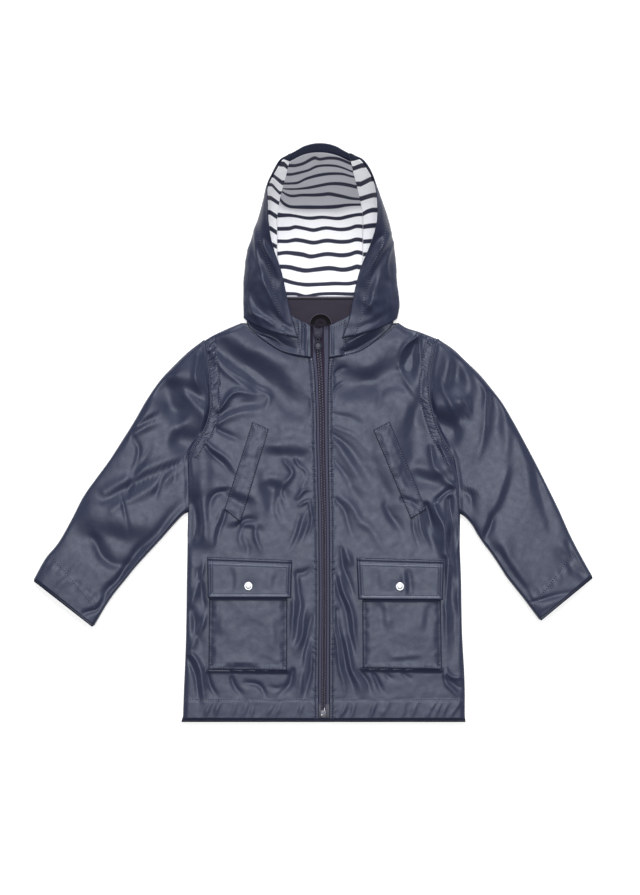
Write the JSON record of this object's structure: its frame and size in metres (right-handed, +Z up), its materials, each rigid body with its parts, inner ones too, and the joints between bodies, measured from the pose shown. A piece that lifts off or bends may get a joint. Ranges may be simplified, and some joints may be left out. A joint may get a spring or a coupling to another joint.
{
  "type": "kids raincoat laid flat",
  "caption": "Child's hooded raincoat laid flat with its zip closed: long sleeves, welt pockets, flap pockets with snaps, and a hood standing open with a striped lining.",
  "frame": {"origin": "underside of the back panel, on the centre line of the body, level with the underarms", "axes": "+Z up from the surface that the coat lies on, +Y towards the hood, +X to the right as seen from above"},
  "size_m": [0.7852, 0.8023, 0.0809],
  "materials": {
    "coated_cloth": "navy coated cloth, satin",
    "plum_jersey": "plum knitted jersey, matt",
    "striped_jersey": "white knitted jersey with navy stripes, matt",
    "zip_tape": "woven tape, matt",
    "zip_moulding": "moulded teeth, satin",
    "dark_metal": "lacquered dark metal",
    "bright_metal": "bright plated metal"
  },
  "bodies": {
    "coat": {"back_panel": "coated_cloth", "front_left": "coated_cloth", "front_right": "coated_cloth", "sleeve_left": "coated_cloth", "sleeve_right": "coated_cloth", "welt_left": "coated_cloth", "welt_right": "coated_cloth", "pocket_left": "coated_cloth", "pocket_right": "coated_cloth", "flap_left": "coated_cloth", "flap_right": "coated_cloth", "snap_left": "bright_metal", "snap_right": "bright_metal", "hood_centre": "coated_cloth", "hood_side_left": "coated_cloth", "hood_side_right": "coated_cloth", "lining_centre": "striped_jersey", "lining_side_left": "striped_jersey", "lining_side_right": "striped_jersey", "collar": "coated_cloth", "collar_facing": "plum_jersey", "chin_guard": "plum_jersey", "zip_tape_left": "zip_tape", "zip_tape_right": "zip_tape", "zip_chain": "zip_moulding", "zip_slider": "dark_metal", "zip_box": "bright_metal"},
    "pull": {"zip_pull": "dark_metal"}
  },
  "joints": [
    {"name": "pull_swing", "type": "hinge", "parent": "coat", "child": "pull", "pos_m": [-0.00277, 0.159, 0.00875], "axis": [-1, 0, 0], "range_deg": [0, 170]}
  ]
}
